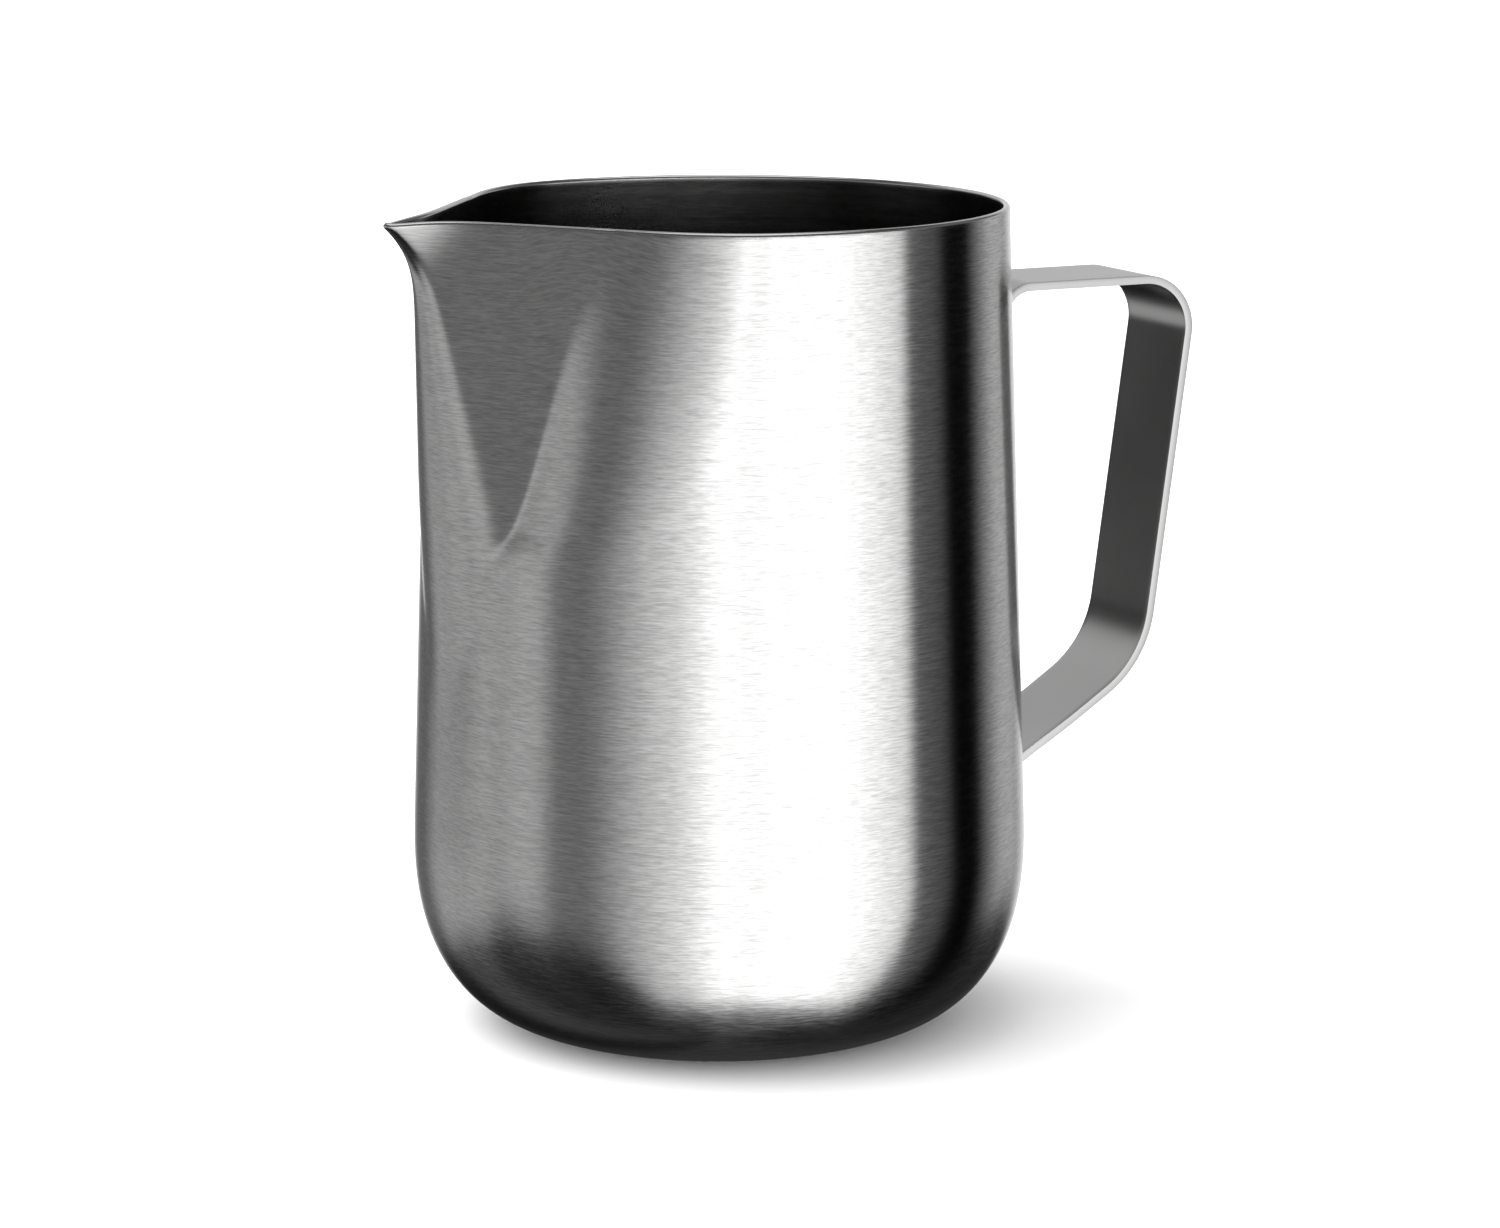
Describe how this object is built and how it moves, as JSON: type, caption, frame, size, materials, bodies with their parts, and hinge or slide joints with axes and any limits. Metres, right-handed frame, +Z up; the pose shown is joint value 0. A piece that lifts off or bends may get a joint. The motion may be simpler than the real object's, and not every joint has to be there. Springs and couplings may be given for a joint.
{
  "type": "milk frothing pitcher",
  "caption": "Stainless steel milk frothing pitcher with a gently tapered wall, rounded base corner, pinched pouring spout and spot-welded flat strap handle.",
  "frame": {"origin": "on the jug's axis, in the plane of its flat foot, which is the plane it stands on", "axes": "+Z up along the jug's axis, +X towards the handle, -X towards the spout"},
  "size_m": [0.1275, 0.0898, 0.1205],
  "materials": {
    "jug_steel": "brushed round the jug's axis, satin inside",
    "strap_steel": "smooth satin with polished edges",
    "weld_steel": "dull fused steel"
  },
  "bodies": {
    "root": {"jug": "jug_steel", "handle_strap": "strap_steel", "weld_top_tab_upper": "weld_steel", "weld_top_tab_lower": "weld_steel", "weld_lower_tab_upper": "weld_steel", "weld_lower_tab_lower": "weld_steel"}
  },
  "joints": []
}
